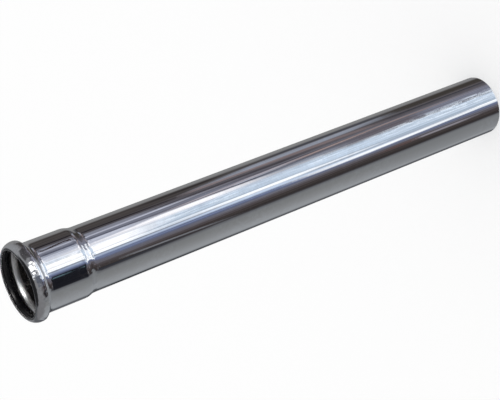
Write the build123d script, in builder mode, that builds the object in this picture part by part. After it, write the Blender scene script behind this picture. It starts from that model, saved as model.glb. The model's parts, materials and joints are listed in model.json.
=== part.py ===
from build123d import *
import math
import os

# Flush pipe extension: a plated tube with a plain end and a socket end. The socket takes the
# end of the next pipe, and a bead rolled into its mouth holds a rubber ring that seals on it.
# It stands on its plain end with the mouth up, as in a flush line. The origin is the centre of
# the plain end, and +Z runs along the pipe's axis, up to the mouth.

# Driving dimensions, in millimetres

overall_length = 250.0
tube_diameter = 28.0
wall = 0.8
edge_break = 0.2

# The socket: what it takes is a tube of this same diameter
socket_gap = 0.1
socket_depth = 23.8
step_length = 5.2

# The bead: its crown lies crown_reach behind the mouth's front edge and crown_back before its
# own back, and stands crown_height out of the socket. From its back a soft bend, bend_height
# high, runs out over bend_length into the socket
crown_reach = 3.9
crown_back = 1.65
crown_height = 2.1
bend_length = 2.6
bend_height = 1.0
lip_gap = 0.35

# The rubber ring in the bead, with room behind it to give way in when a pipe is pushed through
seal_gap = 0.05
seal_room = 0.45
seal_squeeze = 0.1

# Sizes that follow from them, as radii and as distances down the pipe from the mouth
tube_radius = tube_diameter / 2
tube_bore = tube_radius - wall
socket_bore = tube_radius + socket_gap
socket_radius = socket_bore + wall
crown_radius = socket_radius + crown_height
lip_radius = tube_radius + lip_gap + wall / 2
bead_width = crown_reach + crown_back
bend_reach = bead_width + bend_length
bend_radius = socket_radius + bend_height
step_end = socket_depth + step_length

# The step is an ogee: two equal arcs, one bent out and one bent in, that meet halfway
step_rise = socket_radius - tube_radius
ogee_radius = (step_length**2 + step_rise**2) / (4 * step_rise)
ogee_angle = math.degrees(math.asin(step_length / 2 / ogee_radius))

# In this plane x runs down the pipe from the mouth, and y is the distance from its axis
pipe_plane = Plane(origin=(0, 0, overall_length), x_dir=(0, 0, -1), z_dir=(0, -1, 0))


def bead_front(inset):
    """The front quarter of the bead, from its crown to the lip, moved into the wall by inset."""
    rise = crown_radius - lip_radius
    EllipticalCenterArc((crown_reach, lip_radius), crown_reach - inset, rise - inset, 90, arc_size=90)


def bead_back(inset):
    """The back quarter of the bead, from its back to its crown."""
    rise = crown_radius - bend_radius
    EllipticalCenterArc((crown_reach, bend_radius), crown_back - inset, rise - inset, 0, arc_size=90)


def bead_bend(inset):
    """The bend that leads the back of the bead into the socket."""
    spread = bend_length + inset
    drop = bend_height + inset
    EllipticalCenterArc((bend_reach, bend_radius), spread, drop, 180, arc_size=90)


def step_arcs(inset):
    """The two arcs of the step between socket and tube."""
    out_centre = (socket_depth, socket_radius - ogee_radius)
    in_centre = (step_end, tube_radius + ogee_radius)
    CenterArc(out_centre, ogee_radius - inset, 90 - ogee_angle, ogee_angle)
    CenterArc(in_centre, ogee_radius + inset, 270 - ogee_angle, ogee_angle)


# The pipe: one sheet wall of even thickness, turned about the pipe's axis

with BuildPart() as pipe:
    with BuildSketch(pipe_plane) as pipe_section:
        with BuildLine():
            # Outer skin, from the lip to the plain end
            bead_front(0)
            bead_back(0)
            bead_bend(0)
            Line((bend_reach, socket_radius), (socket_depth, socket_radius))
            step_arcs(0)
            Line((step_end, tube_radius), (overall_length, tube_radius))
            Line((overall_length, tube_radius), (overall_length, tube_bore))
            # Inner skin, back to the mouth
            Line((overall_length, tube_bore), (step_end, tube_bore))
            step_arcs(wall)
            Line((socket_depth, socket_bore), (bend_reach, socket_bore))
            bead_bend(wall)
            bead_back(wall)
            bead_front(wall)
            # The sheet's rounded edge at the mouth
            CenterArc((wall / 2, lip_radius), wall / 2, 180, 180)
        make_face()
        plain_edges = pipe_section.vertices().sort_by(Axis.X)[-2:]
        chamfer(plain_edges, length=edge_break)
    revolve(axis=Axis.Z)
pipe.part.label = "pipe"

# The rubber ring: it fills the front and the top of the groove, and its inner face is a crowned
# band that stands a little inside the socket, where it is squeezed by the pipe that it grips

seal_inset = wall + seal_gap
groove_back = bead_width - seal_inset
seal_back = bead_width - wall - seal_room
seal_middle = (seal_inset + seal_back) / 2
seal_inner = tube_radius - seal_squeeze

with BuildPart() as seal_ring:
    with BuildSketch(pipe_plane):
        with BuildLine():
            bead_front(seal_inset)
            bead_back(seal_inset)
            Line((groove_back, bend_radius), (groove_back, lip_radius))
            Line((groove_back, lip_radius), (seal_inset, lip_radius))
        make_face()
        with Locations((seal_back, lip_radius)):
            Rectangle(bead_width, crown_radius, align=(Align.MIN, Align.MIN), mode=Mode.SUBTRACT)
        with Locations((seal_middle, lip_radius)):
            Ellipse(seal_middle - seal_inset, lip_radius - seal_inner)
    revolve(axis=Axis.Z)
seal_ring.part.label = "seal_ring"

# One file for each piece

os.makedirs("parts", exist_ok=True)
export_step(pipe.part, "parts/pipe.step")
export_step(seal_ring.part, "parts/seal_ring.step")

for piece in (pipe.part, seal_ring.part):
    box = piece.bounding_box()
    print(piece.label, "volume", round(piece.volume, 2), "mm3, from", box.min, "to", box.max)
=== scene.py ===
# %% [markdown]
# # A chrome flush pipe extension
#
# The real object is one thin tube, plated bright, with a plain end and a socket end. The socket
# is the tube widened by a step, and its mouth is rolled outwards into a bead that holds a black
# rubber ring. Everything here is turned about one axis, so every piece can be one profile
# carried round a circle. What makes it look real is not the shape alone: chrome shows nothing
# but its surroundings, so the room around the pipe is modelled as carefully as the pipe.
#
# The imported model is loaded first. It gives every size and place, in metres.

# %% Load the frame
import json
import math

import bpy
import numpy as np
from mathutils import Matrix, Vector


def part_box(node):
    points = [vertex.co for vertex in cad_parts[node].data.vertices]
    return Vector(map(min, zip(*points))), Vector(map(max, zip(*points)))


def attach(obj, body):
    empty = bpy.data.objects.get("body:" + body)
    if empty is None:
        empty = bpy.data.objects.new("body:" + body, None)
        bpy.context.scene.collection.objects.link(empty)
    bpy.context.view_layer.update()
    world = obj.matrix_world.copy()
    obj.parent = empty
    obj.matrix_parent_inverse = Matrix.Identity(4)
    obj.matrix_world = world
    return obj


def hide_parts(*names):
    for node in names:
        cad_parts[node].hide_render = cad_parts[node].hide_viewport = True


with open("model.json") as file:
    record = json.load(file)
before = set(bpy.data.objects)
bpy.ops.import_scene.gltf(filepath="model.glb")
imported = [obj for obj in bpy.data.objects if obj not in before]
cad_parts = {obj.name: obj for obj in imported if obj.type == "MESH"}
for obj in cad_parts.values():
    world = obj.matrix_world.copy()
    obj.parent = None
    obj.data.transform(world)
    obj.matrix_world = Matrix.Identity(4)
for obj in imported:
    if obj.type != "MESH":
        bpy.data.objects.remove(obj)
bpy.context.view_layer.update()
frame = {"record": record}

# %% [markdown]
# ## Sizes
#
# The interfaces in the record hold the radii and the places that matter: the bore of the
# socket, the outside of the tube and its bore. The box of the pipe gives its length and the
# radius of the bead's crown. Only the small forms of the bead are named here, as real sizes.

# %% Read the sizes from the frame
mounts = {mount["name"]: mount for mount in frame["record"]["mounts"]}


def wall_span(name):
    """Lowest and highest point of a round mount's wall: its place plus and minus half its length."""
    middle = mounts[name]["pos_m"][2]
    half = mounts[name]["dims"]["length_mm"] / 2000
    return middle - half, middle + half


low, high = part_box("pipe")
length = high[2] - low[2]
crown_radius = (high[0] - low[0]) / 2
tube_radius = mounts["spigot"]["dims"]["r_mm"] / 1000
tube_bore = mounts["waterway"]["dims"]["r_mm"] / 1000
socket_bore = mounts["socket"]["dims"]["r_mm"] / 1000
wall = tube_radius - tube_bore
socket_radius = socket_bore + wall

# Distances down the pipe from the mouth
bend_reach = length - wall_span("socket")[1]
socket_depth = length - wall_span("socket")[0]
step_end = length - wall_span("spigot")[1]
edge_break = wall_span("spigot")[0]

# The bead: where its crown lies, and the soft bend that leads from its back into the socket
crown_reach = 0.0039
bend_length = 0.0026
bend_height = 0.001
# The sheet's edge in the mouth, with the middle of its thickness at lip_radius
lip_gap = 0.00035
lip_corner = 0.00012
lip_bore = tube_radius + lip_gap
lip_radius = lip_bore + wall / 2
bead_width = bend_reach - bend_length
bend_radius = socket_radius + bend_height
print("length", length, "crown", crown_radius, "tube", tube_radius, "socket", socket_radius)
print("bend ends at", bend_reach, "step from", socket_depth, "to", step_end, "edge", edge_break)

# %% [markdown]
# ## Helpers for meshes
#
# A surface of revolution is a grid: one direction runs along the profile, the other round the
# axis. Both can close on themselves. The faces follow from the grid's own numbering, so they
# are worked out for the whole grid at once, and the mesh takes them as flat arrays.


# %% Grid to mesh
def grid_faces(rows, columns):
    """Quads of a grid that closes both ways: point (i, j), its right, upper right and upper one."""
    i, j = np.meshgrid(np.arange(rows), np.arange(columns), indexing="ij")
    after_i = (i + 1) % rows
    after_j = (j + 1) % columns
    corners = [
        i * columns + j,
        i * columns + after_j,
        after_i * columns + after_j,
        after_i * columns + j,
    ]
    return np.stack(corners, axis=-1).reshape(-1, 4)


def signed_volume(points, faces):
    """Sum over the quads of a fan from the origin: positive where the faces point outwards."""
    a, b, c, d = (points[faces[:, k]] for k in range(4))
    return (np.cross(a, b) * c).sum() / 6 + (np.cross(a, c) * d).sum() / 6


def closed_surface(name, grid, attributes):
    """A mesh object from a grid of points that closes both ways, smooth, with faces outwards."""
    rows, columns = grid.shape[:2]
    points = grid.reshape(-1, 3)
    faces = grid_faces(rows, columns)
    if signed_volume(points, faces) < 0:
        faces = faces[:, ::-1]
    mesh = bpy.data.meshes.new(name)
    mesh.vertices.add(len(points))
    mesh.vertices.foreach_set("co", points.ravel())
    mesh.loops.add(faces.size)
    mesh.loops.foreach_set("vertex_index", faces.ravel())
    mesh.polygons.add(len(faces))
    mesh.polygons.foreach_set("loop_start", np.arange(0, faces.size, 4))
    mesh.update(calc_edges=True)
    mesh.validate()
    mesh.shade_smooth()
    for key, values in attributes.items():
        layer = mesh.attributes.new(key, "FLOAT", "POINT")
        layer.data.foreach_set("value", values.ravel())
    piece = bpy.data.objects.new(name, mesh)
    bpy.context.scene.collection.objects.link(piece)
    volume = abs(signed_volume(points, faces)) * 1e9
    print(name, "triangles", 2 * len(faces), "volume mm3", round(volume, 1))
    return piece


# %% [markdown]
# ## The profile
#
# The wall is one sheet, so the profile goes out along the outer skin and back along the inner
# one. It is made of straight runs and quarter ellipses. Each stretch gets as many points as
# its bend needs, and the long straight tube gets enough to carry a slight waviness. Smooth
# shading blends normals from point to point, so a straight run also gets points close to its
# ends: they keep the blend short, and the mirror stays flat right up to the bend.


# %% Stretches of a profile
def arc(centre, radii, start, end, count):
    """Points (distance, radius) on an ellipse: centre plus radii times cosine and sine of an angle."""
    angle = np.radians(np.linspace(start, end, count))
    distances = centre[0] + radii[0] * np.cos(angle)
    heights = centre[1] + radii[1] * np.sin(angle)
    return np.column_stack([distances, heights])


def straight(start, end, count, ease=0.0):
    """Points evenly from start to end, with one more at ease and at a third of it from each end."""
    start, end = np.array(start), np.array(end)
    near = np.array([ease / 3, ease]) / np.linalg.norm(end - start)
    share = np.unique(np.concatenate([np.linspace(0, 1, count), near, 1 - near]))
    return start + share[:, None] * (end - start)


def chain(stretches):
    """The stretches end to end, each without its first point, which the one before it holds."""
    return np.concatenate([stretch[1:] for stretch in stretches])


# The step is an ogee: two equal arcs that meet halfway
step_length = step_end - socket_depth
step_rise = socket_radius - tube_radius
ogee_radius = (step_length**2 + step_rise**2) / (4 * step_rise)
ogee_angle = math.degrees(math.asin(step_length / 2 / ogee_radius))
print("step rises", step_rise, "in two arcs of radius", ogee_radius)

# %% How many points each stretch gets
# The bead shows the most, so its bends have the most
front_points = 30
back_points = 16
bend_points = 18
step_points = 9
edge_points = 4
lip_points = 5
# The straight runs: the outer tube carries the waves
socket_points = 12
tube_points = 40
bore_points = 14
socket_bore_points = 6
print("points of the bead", front_points + back_points + bend_points, "of the tube", tube_points)


# %% Bends of the bead and the step
def bead_front(inset, start, end, nose=lip_radius):
    """Front quarter of the bead, moved into the wall by inset. The nose is the radius it starts at."""
    radii = (crown_reach - inset, crown_radius - nose - inset)
    return arc((crown_reach, nose), radii, start, end, front_points)


def bead_back(inset, start, end):
    """Back quarter of the bead, moved into the wall by inset."""
    radii = (bead_width - crown_reach - inset, crown_radius - bend_radius - inset)
    return arc((crown_reach, bend_radius), radii, start, end, back_points)


def bead_bend(inset, start, end):
    """The soft bend between the bead and the socket."""
    radii = (bend_length + inset, bend_height + inset)
    return arc((bend_reach, bend_radius), radii, start, end, bend_points)


def step_out(inset, start, end):
    """The half of the step next to the socket."""
    radius = ogee_radius - inset
    centre = (socket_depth, socket_radius - ogee_radius)
    return arc(centre, (radius, radius), start, end, step_points)


def step_in(inset, start, end):
    """The half of the step next to the tube."""
    radius = ogee_radius + inset
    centre = (step_end, tube_radius + ogee_radius)
    return arc(centre, (radius, radius), start, end, step_points)


# %% The whole profile
plain_end = length - edge_break
support = 0.0009
edge_radii = (edge_break, edge_break)
corner_radii = (lip_corner, lip_corner)
# The outer skin starts where the corner of the sheet's edge ends
outer_skin = [
    bead_front(0, 180, 90, lip_bore + lip_corner),
    bead_back(0, 90, 0),
    bead_bend(0, 180, 270),
    straight((bend_reach, socket_radius), (socket_depth, socket_radius), socket_points, support),
    step_out(0, 90, 90 - ogee_angle),
    step_in(0, 270 - ogee_angle, 270),
    straight((step_end, tube_radius), (plain_end, tube_radius), tube_points, support),
]
end_face = [
    arc((plain_end, tube_radius - edge_break), edge_radii, 90, 0, edge_points),
    straight((length, tube_radius - edge_break), (length, tube_bore + edge_break), 3),
    arc((plain_end, tube_bore + edge_break), edge_radii, 0, -90, edge_points),
]
inner_skin = [
    straight((plain_end, tube_bore), (step_end, tube_bore), bore_points, support),
    step_in(wall, 270, 270 - ogee_angle),
    step_out(wall, 90 - ogee_angle, 90),
    straight((socket_depth, socket_bore), (bend_reach, socket_bore), socket_bore_points, support),
    bead_bend(wall, 270, 180),
    bead_back(wall, 0, 90),
    bead_front(wall, 90, 180),
]
# The sheet's cut edge faces the axis, with its corners just broken
lip_edge = [
    straight((wall, lip_radius), (wall, lip_bore + lip_corner), 3),
    arc((wall - lip_corner, lip_bore + lip_corner), corner_radii, 360, 270, lip_points),
    straight((wall - lip_corner, lip_bore), (lip_corner, lip_bore), lip_points),
    arc((lip_corner, lip_bore + lip_corner), corner_radii, 270, 180, lip_points),
]
outside = chain(outer_skin + end_face)
inside = chain(inner_skin + lip_edge)
pipe_profile = np.concatenate([outside, inside])
print("profile points", len(pipe_profile))

# %% [markdown]
# ## Unevenness of a formed tube
#
# A drawn tube is never a perfect cylinder, and a mirror finish shows it: the edges of every
# reflection wander a little. The tube gets a few waves round its girth whose phase drifts
# slowly along it. The step and the bead were pressed and rolled, so their ripples are stronger
# and fade out within a few millimetres. All of it stays under a tenth of a millimetre.


# %% Waves in the sheet
chance = np.random.default_rng(11)
step_middle = (socket_depth + step_end) / 2
# How far the ripples of the step and the bead reach
step_ripples, bead_ripples = 0.0026, 0.0023


def waves(distance, angle, counts, height, drift):
    """Sum of height / count * sin(count * angle + phase + drift * distance), with random phases."""
    total = np.zeros(np.broadcast(distance, angle).shape)
    for count in counts:
        phase = chance.uniform(0, 2 * math.pi)
        turn = chance.normal(0, drift)
        total += height / count * np.sin(count * angle + phase + turn * distance)
    return total


def bump_at(distance, middle, spread):
    """A bell round one distance: exp of minus the squared distance from it over the spread."""
    return np.exp(-(((distance - middle) / spread) ** 2))


def sheet_waves(distance, angle):
    """Radial shift of the sheet, the same for both skins: waves of the tube, the step and the bead."""
    tube = waves(distance, angle, (2, 3, 5, 7, 11, 13), height=0.000045, drift=12)
    # A faint swell from drawing, one every 31 mm
    swell, swell_length = 0.000004, 0.031
    tube += swell * np.sin(distance * 2 * math.pi / swell_length + 2 * np.sin(angle))
    step = waves(distance, angle, (9, 14, 19, 26), height=0.00022, drift=150)
    step *= bump_at(distance, step_middle, step_ripples)
    bead = waves(distance, angle, (7, 12, 17, 23, 31), height=0.00026, drift=220)
    bead *= bump_at(distance, crown_reach, bead_ripples)
    return tube + step + bead


# %% Carry the profile round
segments = 380
turn = np.arange(segments) * 2 * math.pi / segments
depth = pipe_profile[:, :1]
shift = sheet_waves(depth, turn[None, :])
ring = pipe_profile[:, 1:] + shift
# The crown may not stand out of the frame's box, and the plain end stays flat
ring = np.minimum(ring, crown_radius)
pipe_grid = np.stack(
    [ring * np.cos(turn), ring * np.sin(turn), np.broadcast_to(length - depth, ring.shape)], axis=-1
)
print("grid", pipe_grid.shape, "largest shift mm", round(float(np.abs(shift).max()) * 1000, 3))

# %% Masks for the material, and the mesh
is_inside = np.zeros(ring.shape)
is_inside[len(outside) :] = 1.0
# Both ends of the sheet are a little duller, over a fraction of a millimetre
plain_fade, mouth_fade = 0.0004, 0.0007
near_edge = np.exp(-((length - depth) / plain_fade)) + np.exp(-(depth / mouth_fade))
# Where the sheet was formed: the step half as much as the bead, the inside a fifth of both
step_share, step_reach = 0.5, 0.0024
bead_reach = 0.0030
inside_share = 0.2
formed = step_share * bump_at(depth, step_middle, step_reach) + bump_at(depth, crown_reach, bead_reach)
formed = formed * (1 - (1 - inside_share) * is_inside)
# The bend in the mouth, where the inside gets a lighter base colour, a painted highlight: half
# of 1 minus the hyperbolic tangent of the distance past the bend's end over twice the blend
rolled_end, rolled_blend = 0.0074, 0.00022
rolled = is_inside * 0.5 * (1 - np.tanh((depth - rolled_end) / (2 * rolled_blend)))
pipe_tube = closed_surface(
    "pipe_tube",
    pipe_grid,
    {
        "inside": is_inside,
        "rolled": rolled,
        "edge": np.broadcast_to(near_edge, ring.shape),
        "formed": formed,
    },
)

# %% [markdown]
# ## The rubber ring
#
# The ring fills the front and the top of the bead's groove, and what shows of it is its
# crowned inner band. It is moulded, so a thin flash line runs round the middle of the band.

# %% Build the ring
seal_gap = 0.00005
seal_squeeze = 0.0001
seal_low, seal_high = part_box("seal_ring")
seal_front = length - seal_high[2]
seal_back = length - seal_low[2]
seal_top = seal_high[0]
seal_inner = tube_radius - seal_squeeze
seal_middle = (seal_front + seal_back) / 2
half_band = (seal_back - seal_front) / 2
# Behind the crown the top falls a little, to a rounded corner
top_corner = 0.0003
top_fall = 0.00004
back_top = seal_top - top_fall
seal_outside = [
    bead_front(wall + seal_gap, 180, 90),
    straight((crown_reach, seal_top), (seal_back - top_corner, back_top), 4),
    arc((seal_back - top_corner, back_top - top_corner), (top_corner, top_corner), 90, 0, 6),
    straight((seal_back, back_top - top_corner), (seal_back, lip_radius), 6),
]
band_radii = (half_band, lip_radius - seal_inner)
band_points = 41
seal_band = [arc((seal_middle, lip_radius), band_radii, 360, 180, band_points)]
seal_profile = chain(seal_outside + seal_band)
seal_depth = seal_profile[:, :1]
on_band = seal_profile[:, 1:] < lip_radius
flash_height, flash_offset, flash_spread = 0.00004, 0.0004, 0.00009
flash = flash_height * bump_at(seal_depth, seal_middle + flash_offset, flash_spread) * on_band
seal_segments = 360
seal_turn = np.arange(seal_segments) * 2 * math.pi / seal_segments
seal_shift = waves(seal_depth, seal_turn[None, :], (3, 5, 9), height=0.00006, drift=40)
seal_shift = seal_shift * bump_at(seal_depth, seal_middle, half_band / 2)
seal_radius = seal_profile[:, 1:] - flash - np.abs(seal_shift) * on_band
seal_grid = np.stack(
    [
        seal_radius * np.cos(seal_turn),
        seal_radius * np.sin(seal_turn),
        np.broadcast_to(length - seal_depth, seal_radius.shape),
    ],
    axis=-1,
)
seal_band_ring = closed_surface("seal_band", seal_grid, {})

# %% [markdown]
# ## Helpers for materials
#
# Every finish is a small tree of nodes, and a few helpers keep the trees short: one adds a node
# and fills its inputs, and the others add the kinds that are used most. Effects that more than
# one finish uses are node groups with named inputs, and they only give out masks and values.


# %% Node helpers
def add(tree, kind, inputs=None, **settings):
    """A new node of one kind, with its settings and its inputs: numbers are set, sockets linked."""
    node = tree.nodes.new(kind)
    for key, value in settings.items():
        setattr(node, key, value)
    for key, value in (inputs or {}).items():
        if isinstance(value, bpy.types.NodeSocket):
            tree.links.new(value, node.inputs[key])
        else:
            node.inputs[key].default_value = value
    return node


def maths(tree, operation, first, second=0.0, third=0.0):
    """The result of one Math node."""
    inputs = {0: first, 1: second, 2: third}
    return add(tree, "ShaderNodeMath", inputs, operation=operation).outputs[0]


def mask_of(tree, name):
    """The value of one of the mesh's own masks."""
    return add(tree, "ShaderNodeAttribute", attribute_name=name).outputs["Fac"]


def noise(tree, spot, scale, detail, **more):
    """The value of a noise texture at a spot."""
    inputs = {"Vector": spot, "Scale": scale, "Detail": detail, **more}
    return add(tree, "ShaderNodeTexNoise", inputs).outputs[0]


def flat_place(tree, first, first_scale, second, second_scale):
    """Two values, each times its scale, as a place in a flat pattern."""
    sides = {0: maths(tree, "MULTIPLY", first, first_scale), 1: maths(tree, "MULTIPLY", second, second_scale)}
    return add(tree, "ShaderNodeCombineXYZ", sides).outputs[0]


# The Mix node's sockets for numbers and for colours
NUMBER_A, NUMBER_B = 2, 3
COLOUR_A, COLOUR_B, COLOUR_OUT = 6, 7, 2


def blend(tree, share, first, second):
    """A colour between two: the first where share is 0, the second where it is 1."""
    inputs = {"Factor": share}
    for key, colour in ((COLOUR_A, first), (COLOUR_B, second)):
        inputs[key] = colour if isinstance(colour, bpy.types.NodeSocket) else (*colour, 1)
    return add(tree, "ShaderNodeMix", inputs, data_type="RGBA").outputs[COLOUR_OUT]


def ramp_between(tree, value, low, high, to_low=0.0, to_high=1.0):
    """Smooth step of a value: to_low under low, to_high over high."""
    inputs = {"Value": value, "From Min": low, "From Max": high, "To Min": to_low, "To Max": to_high}
    return add(tree, "ShaderNodeMapRange", inputs, interpolation_type="SMOOTHSTEP").outputs[0]


def new_group(name, inputs, outputs):
    """An empty node group with named number inputs, named outputs and its two end nodes."""
    group = bpy.data.node_groups.new(name, "ShaderNodeTree")
    for key, kind, value in inputs:
        socket = group.interface.new_socket(name=key, in_out="INPUT", socket_type=kind)
        if value is not None:
            socket.default_value = value
    for key, kind in outputs:
        group.interface.new_socket(name=key, in_out="OUTPUT", socket_type=kind)
    given = group.nodes.new("NodeGroupInput").outputs
    result = group.nodes.new("NodeGroupOutput").inputs
    return group, given, result


def place(tree, group, inputs):
    """One use of a node group, with its own values."""
    return add(tree, "ShaderNodeGroup", inputs, node_tree=group).outputs


# %% [markdown]
# ## Shared effects
#
# `drawn_lines` is noise stretched along the pipe, like the faint lines that drawing and
# polishing leave. `cloudy_film` is the uneven film that hands and drying water leave on a
# bright surface. `dust_specks` is a thin scatter of tiny grains.

# %% Lines from drawing and polishing
FLOAT, VECTOR = "NodeSocketFloat", "NodeSocketVector"
drawn_lines, given, result = new_group(
    "drawn_lines",
    [
        ("Position", VECTOR, None),
        ("Across", FLOAT, 900.0),
        ("Along", FLOAT, 12.0),
        ("Contrast", FLOAT, 1.0),
    ],
    [("Lines", FLOAT)],
)
sides = {0: given["Across"], 1: given["Across"], 2: given["Along"]}
stretch = add(drawn_lines, "ShaderNodeCombineXYZ", sides).outputs[0]
both = {0: given["Position"], 1: stretch}
scaled = add(drawn_lines, "ShaderNodeVectorMath", both, operation="MULTIPLY").outputs[0]
centred = maths(drawn_lines, "SUBTRACT", noise(drawn_lines, scaled, 1.0, 3.0), 0.5)
drawn_lines.links.new(maths(drawn_lines, "MULTIPLY", centred, given["Contrast"]), result["Lines"])

# %% Film of handling and drying water
cloudy_film, given, result = new_group(
    "cloudy_film",
    [
        ("Position", VECTOR, None),
        ("Scale", FLOAT, 60.0),
        ("Cover", FLOAT, 0.5),
        ("Spread", FLOAT, 0.12),
    ],
    [("Film", FLOAT)],
)
clouds = noise(cloudy_film, given["Position"], given["Scale"], 5.0, Roughness=0.62, Distortion=0.6)
film_low = maths(cloudy_film, "SUBTRACT", given["Cover"], given["Spread"])
film_high = maths(cloudy_film, "ADD", given["Cover"], given["Spread"])
cloudy_film.links.new(ramp_between(cloudy_film, clouds, film_low, film_high), result["Film"])

# %% Dust
dust_specks, given, result = new_group(
    "dust_specks",
    [("Position", VECTOR, None), ("Scale", FLOAT, 700.0), ("Size", FLOAT, 0.16)],
    [("Dust", FLOAT)],
)
cells = {"Vector": given["Position"], "Scale": given["Scale"]}
from_grain = add(dust_specks, "ShaderNodeTexVoronoi", cells).outputs["Distance"]
grain_size = noise(dust_specks, given["Position"], 90.0, 2.0)
grain_edge = maths(dust_specks, "MULTIPLY", grain_size, given["Size"])
grain_core = maths(dust_specks, "MULTIPLY", grain_edge, 0.5)
specks = ramp_between(dust_specks, from_grain, grain_core, grain_edge, 1.0, 0.0)
dust_specks.links.new(specks, result["Dust"])


# %% One use of each effect
def lines_of(tree, position, across, turns):
    """Drawn lines, with so many waves per metre across the pipe and so many along it."""
    values = {"Position": position, "Across": across, "Along": turns, "Contrast": 1.0}
    return place(tree, drawn_lines, values)["Lines"]


def film_of(tree, position, scale, cover, spread):
    """Cloudy film in patches of one scale."""
    values = {"Position": position, "Scale": scale, "Cover": cover, "Spread": spread}
    return place(tree, cloudy_film, values)["Film"]


def dust_of(tree, position, scale, size):
    """A scatter of dust grains."""
    values = {"Position": position, "Scale": scale, "Size": size}
    return place(tree, dust_specks, values)["Dust"]


print("effects", drawn_lines.name, cloudy_film.name, dust_specks.name)

# %% [markdown]
# ## Chrome
#
# Bright plate over a polished tube. It is nearly a perfect mirror, so the detail lies in small
# departures: faint drawn lines that comb the reflections, a soft orange peel, a film that
# dulls some patches, and shallow dents where the bead and the step were formed. The inside is
# duller and darker, because plate is thin there. The bend in the mouth has a lighter base
# colour, a painted highlight.

# %% Chrome: its masks and effects
def new_material(name):
    """An empty material, its tree and its shader."""
    material = bpy.data.materials.new(name)
    material.use_nodes = True
    tree = material.node_tree
    return material, tree, tree.nodes["Principled BSDF"]


chrome, tree, shader = new_material("bright_chrome")
position = add(tree, "ShaderNodeTexCoord").outputs["Object"]
inside_mask = mask_of(tree, "inside")
edge_mask = mask_of(tree, "edge")
rolled_mask = mask_of(tree, "rolled")
formed_mask = mask_of(tree, "formed")
coarse_lines = lines_of(tree, position, 420.0, 9.0)
fine_lines = lines_of(tree, position, 2600.0, 60.0)
patches = film_of(tree, position, 24.0, 0.50, 0.10)
spots = film_of(tree, position, 330.0, 0.53, 0.14)
# The spots are strong in the patches and faint between them
strong, faint = 1.0, 0.15
spot_strength = maths(tree, "MULTIPLY_ADD", patches, strong - faint, faint)
film = maths(tree, "MULTIPLY", spots, spot_strength)
dust = dust_of(tree, position, 520.0, 0.12)
print("masks and effects", len(tree.nodes), "nodes")

# %% Chrome: roughness and colour
# What each mask adds to the roughness of the bare plate
bare_plate = 0.03
dulling = [
    (film, 0.03),
    (fine_lines, 0.03),
    (edge_mask, 0.1),
    (inside_mask, 0.22),
    (rolled_mask, 0.06),
    (formed_mask, 0.06),
    (dust, 0.06),
]
polish = bare_plate
for mask, share in dulling:
    polish = maths(tree, "MULTIPLY_ADD", mask, share, polish)
tree.links.new(polish, shader.inputs["Roughness"])

plate = blend(tree, film, (0.735, 0.745, 0.765), (0.78, 0.80, 0.83))
lining = blend(tree, inside_mask, plate, (0.62, 0.60, 0.58))
# The bend in the mouth gets a lighter colour, a painted highlight
colour_with_bend_highlight = blend(tree, rolled_mask, lining, (0.88, 0.88, 0.88))
tree.links.new(colour_with_bend_highlight, shader.inputs["Base Color"])
shader.inputs["Metallic"].default_value = 1.0
print("roughness from", len(dulling), "masks")

# %% Chrome: relief
# How high each kind of unevenness stands in the bump
peel = noise(tree, position, 260.0, 2.0)
dents = noise(tree, position, 560.0, 0.6)
relief = maths(tree, "MULTIPLY", peel, 0.6)
for pattern, share in (
    (coarse_lines, 1.4),
    (fine_lines, 0.12),
    (maths(tree, "MULTIPLY", dents, formed_mask), 22.0),
):
    relief = maths(tree, "MULTIPLY_ADD", pattern, share, relief)
bumps = add(tree, "ShaderNodeBump", {"Height": relief, "Strength": 0.35, "Distance": 0.00003})
tree.links.new(bumps.outputs[0], shader.inputs["Normal"])
pipe_tube.data.materials.append(chrome)
print("chrome nodes", len(tree.nodes))

# %% [markdown]
# ## Rubber
#
# Moulded black rubber, a little shiny where the mould was polished, with fine grain, faint dust
# and a bloom that greys it in patches.

# %% Rubber material
rubber, tree, shader = new_material("moulded_rubber")
position = add(tree, "ShaderNodeTexCoord").outputs["Object"]
bloom = film_of(tree, position, 240.0, 0.55, 0.2)
dust = dust_of(tree, position, 1500.0, 0.22)
grain = noise(tree, position, 5200.0, 3.0)
body = blend(tree, bloom, (0.004, 0.004, 0.005), (0.009, 0.009, 0.011))
dusty = blend(tree, dust, body, (0.03, 0.03, 0.028))
tree.links.new(dusty, shader.inputs["Base Color"])
tree.links.new(maths(tree, "MULTIPLY_ADD", bloom, 0.1, 0.22), shader.inputs["Roughness"])
shader.inputs["Specular IOR Level"].default_value = 0.45
rough = add(tree, "ShaderNodeBump", {"Height": grain, "Strength": 0.15, "Distance": 0.00002})
tree.links.new(rough.outputs[0], shader.inputs["Normal"])
seal_band_ring.data.materials.append(rubber)
print("rubber nodes", len(tree.nodes))

# %% [markdown]
# ## Pieces on their bodies
#
# The part has no joints, so both pieces ride on its one body, and each stands in for its node.

# %% Ride and replace
for piece, node, slot in ((pipe_tube, "pipe", "chrome_plate"), (seal_band_ring, "seal_ring", "black_rubber")):
    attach(piece, "root")
    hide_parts(node)

# %% [markdown]
# ## Camera
#
# The photograph looks down at the pipe, into its mouth, with the axis across the picture and
# turned away by about sixty degrees. The pipe's own axis stands upright here, so the camera is
# rolled to give the same picture. Its place follows from where the mouth lies in the view.

# %% Set the camera
focal_length = 99.15
sensor_width = 36.0
view_elevation = math.radians(29.80)
view_roll = math.radians(-111.40)
mouth_in_view = Vector((-0.091387, -0.033382, -0.541669))

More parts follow.
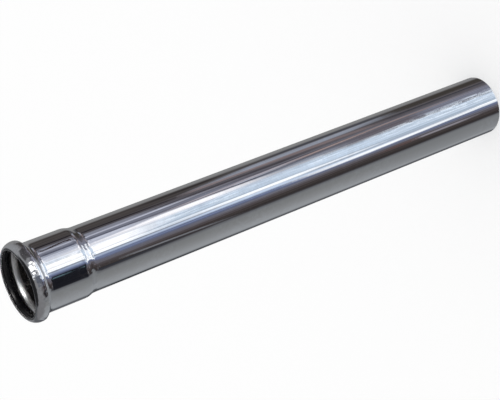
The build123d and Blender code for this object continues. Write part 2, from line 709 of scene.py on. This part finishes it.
forward = Vector((0, math.cos(view_elevation), -math.sin(view_elevation)))
level = Vector((1, 0, 0))
rise = level.cross(forward)
right = math.cos(view_roll) * level + math.sin(view_roll) * rise
upward = -math.sin(view_roll) * level + math.cos(view_roll) * rise
turned = Matrix((right, upward, -forward)).transposed()
camera_place = Vector((0, 0, length)) - turned @ mouth_in_view
camera_data = bpy.data.cameras.new("camera")
camera_data.lens = focal_length
camera_data.sensor_width = sensor_width
camera_data.clip_start = 0.01
camera = bpy.data.objects.new("camera", camera_data)
camera.matrix_world = Matrix.Translation(camera_place) @ turned.to_4x4()
bpy.context.scene.collection.objects.link(camera)
bpy.context.scene.camera = camera
print("camera at", [round(value, 4) for value in camera.matrix_world.translation])

# %% [markdown]
# ## The studio
#
# The floor is plain and pale, and the light is soft and comes from all round. A mirror finish
# needs something to show as well, so what the chrome sees is a room of its own: a wide bright
# window with frost on its glass, a grey table side, two lamps behind leaves, and darker things
# between, many of them long and thin. The room is not built as objects. It is painted on the
# sky by direction: the bearing round the pipe's axis, counted from a line beside the window,
# and the height over the horizon. The camera sees each spot of the straight tube mirror one
# height, so a second ruler tells where on the tube a height shows, in millimetres down from
# the mouth. Each thing in the room is a ribbon along one of these rulers, laid over what is
# behind it.

# %% Bearing, height and the ruler along the pipe
window_bearing = 145.3
world = bpy.data.worlds.new("studio")
world.use_nodes = True
world.cycles.sampling_method = "NONE"
bpy.context.scene.world = world
tree = world.node_tree
tree.nodes.clear()
direction = add(tree, "ShaderNodeTexCoord").outputs["Generated"]
parts = add(tree, "ShaderNodeSeparateXYZ", {0: direction}).outputs
height = maths(tree, "DEGREES", maths(tree, "ARCSINE", parts[2]))
around = maths(tree, "DEGREES", maths(tree, "ARCTAN2", parts[0], parts[1]))
bearing = maths(tree, "WRAP", maths(tree, "SUBTRACT", around, window_bearing), 180.0, -180.0)

# A ray mirrored at the tube keeps its slope, so the slope from the camera gives the spot
camera_out = -1000 * camera.matrix_world.translation.y - 1000 * tube_radius
camera_over = 1000 * (camera.matrix_world.translation.z - length)
level_part = maths(tree, "SQRT", maths(tree, "SUBTRACT", 1.0, maths(tree, "POWER", parts[2], 2.0)))
fall = maths(tree, "DIVIDE", maths(tree, "MULTIPLY", parts[2], -camera_out), level_part)
along = maths(tree, "SUBTRACT", fall, camera_over)
print("camera out", round(camera_out, 1), "over the mouth", round(camera_over, 1))


# %% Reading off between marks
def read_off(tree, value, marks):
    """Three numbers at a value, blended evenly between the marks (place, (a, b, c))."""
    start, stop = marks[0][0], marks[-1][0]
    span = {"Value": value, "From Min": start, "From Max": stop}
    share = add(tree, "ShaderNodeMapRange", span).outputs[0]
    ramp = add(tree, "ShaderNodeValToRGB", {0: share})
    stops = ramp.color_ramp.elements
    for number, (spot, numbers) in enumerate(marks):
        share_here = (spot - start) / (stop - start)
        if number > 1:
            stops.new(share_here)
        stops[number].position = share_here
        stops[number].color = (*numbers, 1)
    return ramp.outputs[0]


# %% Ribbon of the room
ribbon_mask, given, result = new_group(
    "ribbon_mask",
    [("Bearing", FLOAT, 0.0), ("Track", "NodeSocketColor", None), ("Softness", FLOAT, 2.0)],
    [("Mask", FLOAT)],
)
track = add(ribbon_mask, "ShaderNodeSeparateColor", {0: given["Track"]}).outputs
middle = maths(ribbon_mask, "MULTIPLY_ADD", track[0], 360.0, -180.0)
off = maths(ribbon_mask, "WRAP", maths(ribbon_mask, "SUBTRACT", given["Bearing"], middle), 180.0, -180.0)
half_width = maths(ribbon_mask, "MULTIPLY", track[1], 90.0)
inner = maths(ribbon_mask, "SUBTRACT", half_width, given["Softness"])
outer = maths(ribbon_mask, "ADD", half_width, given["Softness"])
across = ramp_between(ribbon_mask, maths(ribbon_mask, "ABSOLUTE", off), inner, outer, 1.0, 0.0)
ribbon_mask.links.new(maths(ribbon_mask, "MULTIPLY", across, track[2]), result["Mask"])

# The part of the light that the plate gives back
mirror_share = 0.745


def light_for(tone):
    """Light that the chrome shows as an 8-bit tone: the display curve undone, over the mirror's share."""
    return tuple(((level / 255 + 0.055) / 1.055) ** 2.4 / mirror_share for level in tone)


def hang(behind, tone, softness, knots, ruler=along, gain=1.0, pattern=1.0):
    """Lays a ribbon over what is behind it. A knot is (place on the ruler, bearing, half width, cover)."""
    marks = [(spot, (middle / 360 + 0.5, half / 90, cover)) for spot, middle, half, cover in knots]
    given_track = {"Bearing": bearing, "Track": read_off(tree, ruler, marks), "Softness": softness}
    mask = maths(tree, "MULTIPLY", place(tree, ribbon_mask, given_track)["Mask"], pattern)
    light = tuple(gain * level for level in light_for(tone))
    return blend(tree, mask, behind, light)


# %% The walls and the table
# Round the pipe: wall, window side, doorway, then the edge of the table and the table's grey
walls = [
    (-180, (122, 124, 128)),
    (-150, (112, 112, 113)),
    (-112, (125, 125, 125)),
    (-100, (123, 122, 122)),
    (-93, (104, 102, 102)),
    (-86, (68, 66, 66)),
    (-70, (74, 70, 70)),
    (-40, (84, 81, 86)),
    (-12, (100, 99, 108)),
    (52, (84, 82, 90)),
    (60, (100, 99, 108)),
    (65, (84, 79, 82)),
    (72, (66, 60, 60)),
    (80, (57, 52, 51)),
    (87, (50, 46, 46)),
    (90, (58, 56, 58)),
    (94, (96, 97, 100)),
    (101, (116, 117, 118)),
    (112, (121, 122, 122)),
    (130, (131, 132, 133)),
    (150, (141, 143, 145)),
    (162, (145, 147, 149)),
    (170, (140, 142, 145)),
    (180, (122, 124, 128)),
]
shades = read_off(tree, bearing, [(spot, light_for(tone)) for spot, tone in walls])
# Over the horizon, which only the bead and the bend in the mouth show, the walls change slowly
upper_marks = [(-180, light_for((138, 139, 141))), (180, light_for((108, 107, 108)))]
upper = read_off(tree, bearing, upper_marks)
over_horizon = ramp_between(tree, height, -14.0, 12.0)
room = blend(tree, over_horizon, shades, upper)
# Fine streaks along the pipe, on the window's side of the room only
streaks = noise(tree, flat_place(tree, bearing, 0.30, height, 0.06), 1.0, 4.0, Roughness=0.7)
calm = ramp_between(tree, maths(tree, "ABSOLUTE", bearing), 86.0, 94.0)
streak_level = ramp_between(tree, streaks, 0.3, 0.7, 0.72, 1.34)
steadied = {"Factor": calm, NUMBER_A: streak_level, NUMBER_B: 1.0}
streak_level = add(tree, "ShaderNodeMix", steadied).outputs[0]
print("walls", len(walls), "marks")

# %% Left of the window
# A dark wall, with a hazy light on it from the middle of the tube on
room = hang(room, (64, 60, 59), 5, [
    (-60, -78, 14, 0), (-20, -78, 15, 1), (75, -78, 15, 1), (100, -82, 10, 0),
])
room = hang(room, (44, 41, 41), 3, [
    (50, -82, 3, 0), (60, -82, 4.5, 0.8), (88, -83, 5, 0.9), (99, -85, 3, 0),
])
room = hang(room, (138, 142, 153), 6, [
    (70, -58, 4, 0), (88, -61, 7, 0.6), (110, -65, 10, 1), (165, -66, 9, 1), (184, -68, 8, 0.5),
    (200, -68, 7, 0),
])
room = hang(room, (66, 68, 76), 4, [
    (112, -88, 4, 0), (128, -87, 5, 0.8), (176, -87, 5, 0.9), (188, -87, 4, 0),
])
room = hang(room, (62, 58, 55), 5, [(180, -76, 9, 0), (194, -76, 13, 1), (260, -76, 14, 1)])
room = hang(room, (126, 112, 112), 4, [
    (70, -56, 4, 0), (82, -57, 5, 0.8), (110, -54, 5, 0.8), (150, -50, 6, 0.8), (172, -46, 5, 0.6),
    (190, -42, 4, 0),
])
# Two dark edges that run along the tube
room = hang(room, (34, 31, 34), 2, [
    (-30, -58, 2.5, 0), (0, -58, 3, 1), (40, -57, 3, 1), (66, -55, 2.4, 0.9), (80, -54, 2, 0),
])
room = hang(room, (58, 58, 64), 2.5, [(176, -50, 2.5, 0), (194, -51, 3, 0.9), (255, -52, 3, 0.8)])
# A lilac curtain, with bright and dark lines beside it
room = hang(room, (140, 142, 154), 4, [
    (-30, -40, 7, 0), (8, -40, 7.5, 0.9), (50, -40, 7, 0.9), (66, -38, 6, 0.4), (84, -38, 5, 0),
])
room = hang(room, (114, 116, 128), 3, [
    (-30, -24, 6, 0), (8, -24, 6, 1), (90, -24, 5, 1), (112, -22, 4, 0),
])
room = hang(room, (178, 180, 193), 1.8, [
    (-20, -33, 2, 0), (16, -33, 2.2, 0.8), (45, -32.5, 2.6, 0.8), (62, -33, 2.8, 1),
    (80, -33.5, 2.4, 0.4), (106, -34, 2, 0.1),
])
room = hang(room, (78, 80, 94), 1.5, [
    (-10, -21, 1.5, 0), (8, -20, 2.8, 1), (22, -20, 2.8, 1), (45, -19.5, 2.2, 0.8),
    (64, -18, 1.5, 0),
])
room = hang(room, (56, 52, 56), 2, [
    (50, -43, 1.5, 0), (64, -41, 1.8, 0.7), (90, -39, 2.0, 0.7), (125, -37.5, 2.4, 0.9),
    (146, -37, 2.0, 0),
])
room = hang(room, (48, 37, 35), 1.5, [
    (6, -35, 1.4, 0), (10, -38, 3, 1), (16, -42, 3.2, 1), (22, -46, 2.6, 0.8), (26, -48, 1.5, 0),
])

print("left of the window", len(tree.nodes), "nodes")

# %% Lines that cross the tube slantwise
# Hazy patches first
room = hang(room, (146, 151, 163), 4, [
    (96, -6, 4, 0), (112, -7, 5, 0.8), (138, -8, 6, 0.7), (165, -9, 7, 0.3), (190, -9, 6, 0),
])
room = hang(room, (97, 92, 98), 4, [
    (150, -14, 7, 0), (168, -13, 9, 0.9), (198, -12, 9, 0.9), (214, -12, 8, 0),
])
room = hang(room, (116, 118, 131), 5, [(196, -16, 12, 0), (212, -16, 14, 0.9), (260, -17, 15, 0.9)])
# A dark line, a thin bright one, and two that lean away from the window
room = hang(room, (64, 64, 76), 1.6, [
    (56, -17, 1.2, 0.3), (84, -13, 1.6, 1), (104, -12.5, 1.8, 0.8), (120, -13, 1.9, 0.5),
    (135, -15, 2.2, 0.4), (160, -14, 2.6, 0.2), (180, -14, 2, 0),
])
room = hang(room, (172, 177, 189), 1.2, [
    (90, -16, 0.8, 0), (100, -15.8, 1.7, 0.9), (118, -16.5, 1.7, 0.6), (134, -17, 1, 0),
])
room = hang(room, (174, 168, 175), 1.6, [
    (56, -14, 1.2, 0), (70, -16, 2, 0.6), (84, -17.5, 2.3, 0.9), (104, -19.5, 2.6, 1),
    (122, -21, 2.8, 1), (142, -24, 2.4, 0),
])
room = hang(room, (152, 134, 130), 1.8, [
    (124, -21.5, 2.2, 0), (140, -23.5, 2.6, 1), (162, -26.5, 2.5, 0.9), (185, -30.5, 2.3, 0.8),
    (212, -30, 2.1, 0.5), (240, -29, 2, 0.1),
])

print("slanting lines", len(tree.nodes), "nodes")

# %% The window
# The blue frame on its right and the pale line inside it
room = hang(room, (105, 114, 141), 4, [
    (-40, 47, 5, 0), (-10, 47, 7, 1), (130, 48, 7, 1), (190, 49, 6.5, 0.9), (255, 48, 6, 0.9),
])
room = hang(room, (190, 203, 222), 3, [
    (-10, 41.5, 3, 0), (20, 41.5, 3, 0.5), (60, 41.5, 3.2, 0.6), (104, 41.5, 4, 1), (255, 42, 4, 1),
])
# The pane, brighter in places
room = hang(room, (170, 183, 198), 3, [
    (-60, 17, 17, 0), (-10, 17, 19, 1), (100, 17, 19, 1), (140, 17.5, 18, 1), (160, 19, 17, 1),
    (255, 19, 17, 1),
])
room = hang(room, (200, 214, 230), 5, [
    (50, 18, 8, 0), (70, 18, 9, 0.2), (120, 18, 9, 0.2), (144, 18, 9, 0.9), (170, 18, 9, 0.7),
    (255, 18, 10, 0.3),
])
# The frame on its left, with a darker line
room = hang(room, (188, 191, 203), 3, [
    (-50, -9, 8, 0), (-10, -9, 8, 1), (45, -9, 8, 1), (62, -8, 6.5, 0.6), (78, -7, 5, 0),
])
room = hang(room, (134, 137, 149), 2, [
    (-20, -15, 2, 0), (4, -15, 2.8, 0.9), (22, -14.5, 2.6, 0.9), (32, -14, 2, 0),
])
# Full daylight: a strip at the left, and all of the pane toward the mouth
room = hang(room, (252, 250, 253), 2.5, [
    (-20, 2, 4, 0), (20, 2, 5, 0.6), (50, -2, 6, 0.9), (62, -4, 7.2, 1), (86, -4.5, 7, 1),
    (102, -5, 5.2, 0.7), (122, -3, 3.2, 0.3), (160, -1.5, 2, 0.2), (250, -1, 1.5, 0.15),
])
room = hang(room, (254, 254, 255), 4, [
    (-50, 20, 12, 0), (-14, 22, 12, 1), (14, 22, 12, 1), (24, 20, 14, 1), (44, 17.5, 15, 1),
    (58, 14, 11, 0.4), (70, 13, 9, 0),
])
# Two thin bars before it
room = hang(room, (196, 202, 216), 1.2, [
    (10, 3, 0.8, 0), (30, 2.5, 1, 0.6), (60, 3.5, 1.2, 0.6), (90, 4, 1.4, 0.9),
    (124, 3.5, 1.6, 0.6), (142, 3, 1.5, 0),
])
room = hang(room, (206, 208, 220), 1.2, [
    (28, 30, 1, 0), (38, 26, 1.2, 0.5), (55, 21, 1.5, 0.6), (72, 16, 2, 0),
])
# Daylight at the right, with a grey line, and on the reveal toward the plain end
room = hang(room, (249, 251, 254), 2, [
    (10, 30.5, 5, 0.9), (34, 31, 5, 0.9), (48, 31, 4.5, 0.7), (62, 32, 4.5, 0.3),
    (80, 32, 4.8, 0.5), (98, 32.5, 4.8, 0.85), (122, 32.5, 4.8, 1), (142, 33, 3, 0.8),
    (166, 33, 2.4, 0.5), (186, 33, 2, 0),
])
room = hang(room, (140, 150, 158), 1.2, [
    (126, 40, 1, 0), (142, 39.5, 1.5, 0.8), (172, 38.5, 1.4, 0.6), (188, 38, 1, 0),
])
room = hang(room, (250, 252, 254), 2.2, [
    (120, 47, 2.5, 0), (140, 47.2, 3.2, 0.7), (160, 47, 4, 0.9), (180, 46, 4.4, 0.95),
    (200, 44.5, 4.6, 0.95), (222, 42.5, 4.8, 0.8), (238, 40.5, 4.6, 1), (255, 40, 4.6, 1),
])

# Frost on the glass, in small patches
frost_noise = noise(tree, flat_place(tree, bearing, 0.16, along, 0.22), 1.0, 3.0, Distortion=0.5)
frost = ramp_between(tree, frost_noise, 0.45, 0.58)
room = hang(room, (233, 243, 253), 6, [
    (56, 9, 10, 0), (64, 10, 11, 0.8), (76, 11, 11, 0.6), (82, 11, 10, 0.2), (90, 10, 11, 0.8),
    (100, 10, 10, 0.6), (110, 10, 8, 0.2), (134, 8, 8, 0.3), (142, 8, 9, 0.9), (152, 6, 8, 0.4),
    (170, 8, 10, 0.3), (182, 9, 12, 0.7), (206, 6, 14, 0.6), (228, 6, 16, 0.9), (250, 4, 16, 0.8),
], pattern=frost)

print("window", len(tree.nodes), "nodes")

# %% Right of the window
# The dark block that the socket shows, with a blue line in it
room = hang(room, (25, 26, 31), 3.5, [
    (-60, 70, 20, 0), (-30, 70, 21, 1), (23, 71.5, 21, 1), (25.5, 71, 20, 0),
])
room = hang(room, (100, 126, 134), 1.5, [
    (6, 56, 1.2, 0), (10, 56.5, 1.4, 0.8), (14, 57, 1.4, 0.7), (18, 57, 1.2, 0),
])
# Dark and pale lines between the window and the table
room = hang(room, (46, 48, 54), 3, [
    (24, 86, 3, 0), (27, 86, 4, 0.9), (60, 87, 3, 0.8), (72, 87, 3, 0),
])
room = hang(room, (142, 144, 150), 2, [
    (36, 74, 1.6, 0), (44, 76, 2.4, 0.5), (60, 79, 2.6, 0.55), (78, 83, 2.4, 0.6),
    (90, 85.5, 2, 0.2), (98, 87, 2, 0),
])
room = hang(room, (146, 142, 148), 1.8, [
    (190, 67, 1.5, 0), (200, 67.5, 2.4, 0.9), (222, 68, 2.6, 0.9), (240, 68, 1.8, 0),
])
room = hang(room, (88, 72, 70), 3, [
    (172, 67, 3, 0), (182, 67, 4.5, 0.9), (194, 67, 4, 0.9), (199, 67, 3, 0),
])

# The table is a little darker toward the plain end
room = hang(room, (117, 119, 121), 10, [
    (140, 130, 30, 0), (180, 130, 32, 0.3), (210, 130, 32, 0.5), (255, 130, 32, 0.5),
])

print("right of the window", len(tree.nodes), "nodes")

# %% What the step shows, lower than the tube does
room = hang(room, (250, 251, 254), 6, [
    (252, 16, 24, 0), (300, 16, 27, 1), (430, 17, 26, 1), (540, 17, 26, 0.5), (900, 16, 26, 0.4),
])
print("under the tube's heights", len(tree.nodes), "nodes")

# %% What the bead shows, over the horizon
# Leaves hang before the lamps and break their light into patches
leaf_noise = noise(tree, flat_place(tree, bearing, 0.10, height, 0.12), 1.0, 2.0)
leaves = ramp_between(tree, leaf_noise, 0.42, 0.52)
low_lamp, high_lamp = 1.5, 6.0
# Darker things left and right, a pale wall between, then the two lamps and a dark door behind
room = hang(room, (104, 102, 116), 3, [
    (-75, -14, 8, 0), (-45, -14, 10, 0.8), (0, -14, 10, 0.8), (8, -14, 7, 0),
])
room = hang(room, (60, 58, 60), 6, [
    (-20, -42, 12, 0), (-8, -42, 15, 0.9), (36, -42, 17, 0.9), (48, -42, 15, 0),
], height)
room = hang(room, (84, 88, 98), 6, [
    (-20, 42, 8, 0), (-10, 42, 14, 0.9), (26, 42, 15, 0.9), (38, 42, 12, 0),
], height)
room = hang(room, (178, 180, 187), 7, [
    (8, 6, 12, 0), (14, 6, 13, 1), (30, 7, 12, 0.9), (56, 10, 10, 0.2),
], height)
room = hang(room, (255, 253, 250), 4, [
    (-19.8, 10, 14, 0), (-16, 10, 14, 1), (0, 8, 11, 1), (8, 6, 9, 1), (14, 6, 8, 0),
], height, low_lamp, leaves)
room = hang(room, (255, 253, 250), 4, [
    (8, 6, 6, 0), (16, 6, 9.5, 1), (34, 5, 9.5, 1), (48, 2, 8, 0),
], height, high_lamp, leaves)
room = hang(room, (38, 39, 41), 6, [
    (8, -143, 10, 0), (16, -143, 20, 0.9), (44, -143, 22, 0.9), (54, -143, 16, 0),
], height)

print("over the horizon", len(tree.nodes), "nodes")

# %% A dark strip for the shadow under the pipe, the streaks, the ceiling and the ground
# A dark strip in the room, a painted shadow: the chrome's lower edge shows it as the shade under the pipe
room = hang(room, (48, 50, 53), 6, [
    (-30, -174, 9, 0.7), (24, -176, 8, 0.7), (34, -170, 12, 1), (62, -171, 12, 0.85),
    (110, -173, 10, 0.7), (255, -173, 10, 0.7),
])
room = add(tree, "ShaderNodeVectorMath", {0: room, "Scale": streak_level}, operation="SCALE").outputs[0]
# The dark ceiling starts at 53 degrees, 7 more at a bearing of 20 and 7 less across from it
ceiling_height, ceiling_slope, slope_bearing = 53.0, 7.0, 20.0
from_slope = maths(tree, "RADIANS", maths(tree, "SUBTRACT", bearing, slope_bearing))
ceiling_edge = maths(tree, "MULTIPLY_ADD", maths(tree, "COSINE", from_slope), ceiling_slope, ceiling_height)
over_edge = maths(tree, "SUBTRACT", height, ceiling_edge)
ceiling = ramp_between(tree, over_edge, -4.0, 4.0)
room = blend(tree, ceiling, room, (0.020, 0.020, 0.021))
# Straight below, the ground is an even grey
nadir = ramp_between(tree, height, -62.0, -74.0)
room = blend(tree, nadir, room, (0.42, 0.43, 0.45))
print("room", len(tree.nodes), "nodes")

# %% What each kind of ray meets
floor_tone = 0.9
soft_light = 1.1
path = add(tree, "ShaderNodeLightPath").outputs
# Light that bounced off the floor meets the soft light even by way of the chrome, so the floor
# gets no bright curls
unscattered = maths(tree, "LESS_THAN", path["Diffuse Depth"], 0.5)
in_chrome = maths(tree, "MULTIPLY", path["Is Glossy Ray"], unscattered)
lit = blend(tree, in_chrome, (soft_light,) * 3, room)
backdrop = soft_light * floor_tone
shown = blend(tree, path["Is Camera Ray"], lit, (backdrop,) * 3)
background = add(tree, "ShaderNodeBackground", {"Color": shown, "Strength": 1.0})
add(tree, "ShaderNodeOutputWorld", {"Surface": background.outputs[0]})
print("world nodes", len(tree.nodes))

# %% Floor
floor_reach = 6.0
corner = floor_reach * np.array([[-1, -1, 0], [1, -1, 0], [1, 1, 0], [-1, 1, 0]], dtype=float)
floor_mesh = bpy.data.meshes.new("floor")
floor_mesh.from_pydata(corner.tolist(), [], [(0, 1, 2, 3)])
floor = bpy.data.objects.new("floor", floor_mesh)
bpy.context.scene.collection.objects.link(floor)
floor_paint, tree, shader = new_material("pale_floor")
shader.inputs["Base Color"].default_value = (floor_tone, floor_tone, floor_tone, 1)
shader.inputs["Roughness"].default_value = 0.9
shader.inputs["Specular IOR Level"].default_value = 0.0
floor.data.materials.append(floor_paint)
floor.visible_glossy = False
bpy.context.scene.view_settings.view_transform = "Standard"
print("floor reaches", floor_reach, "m each way")
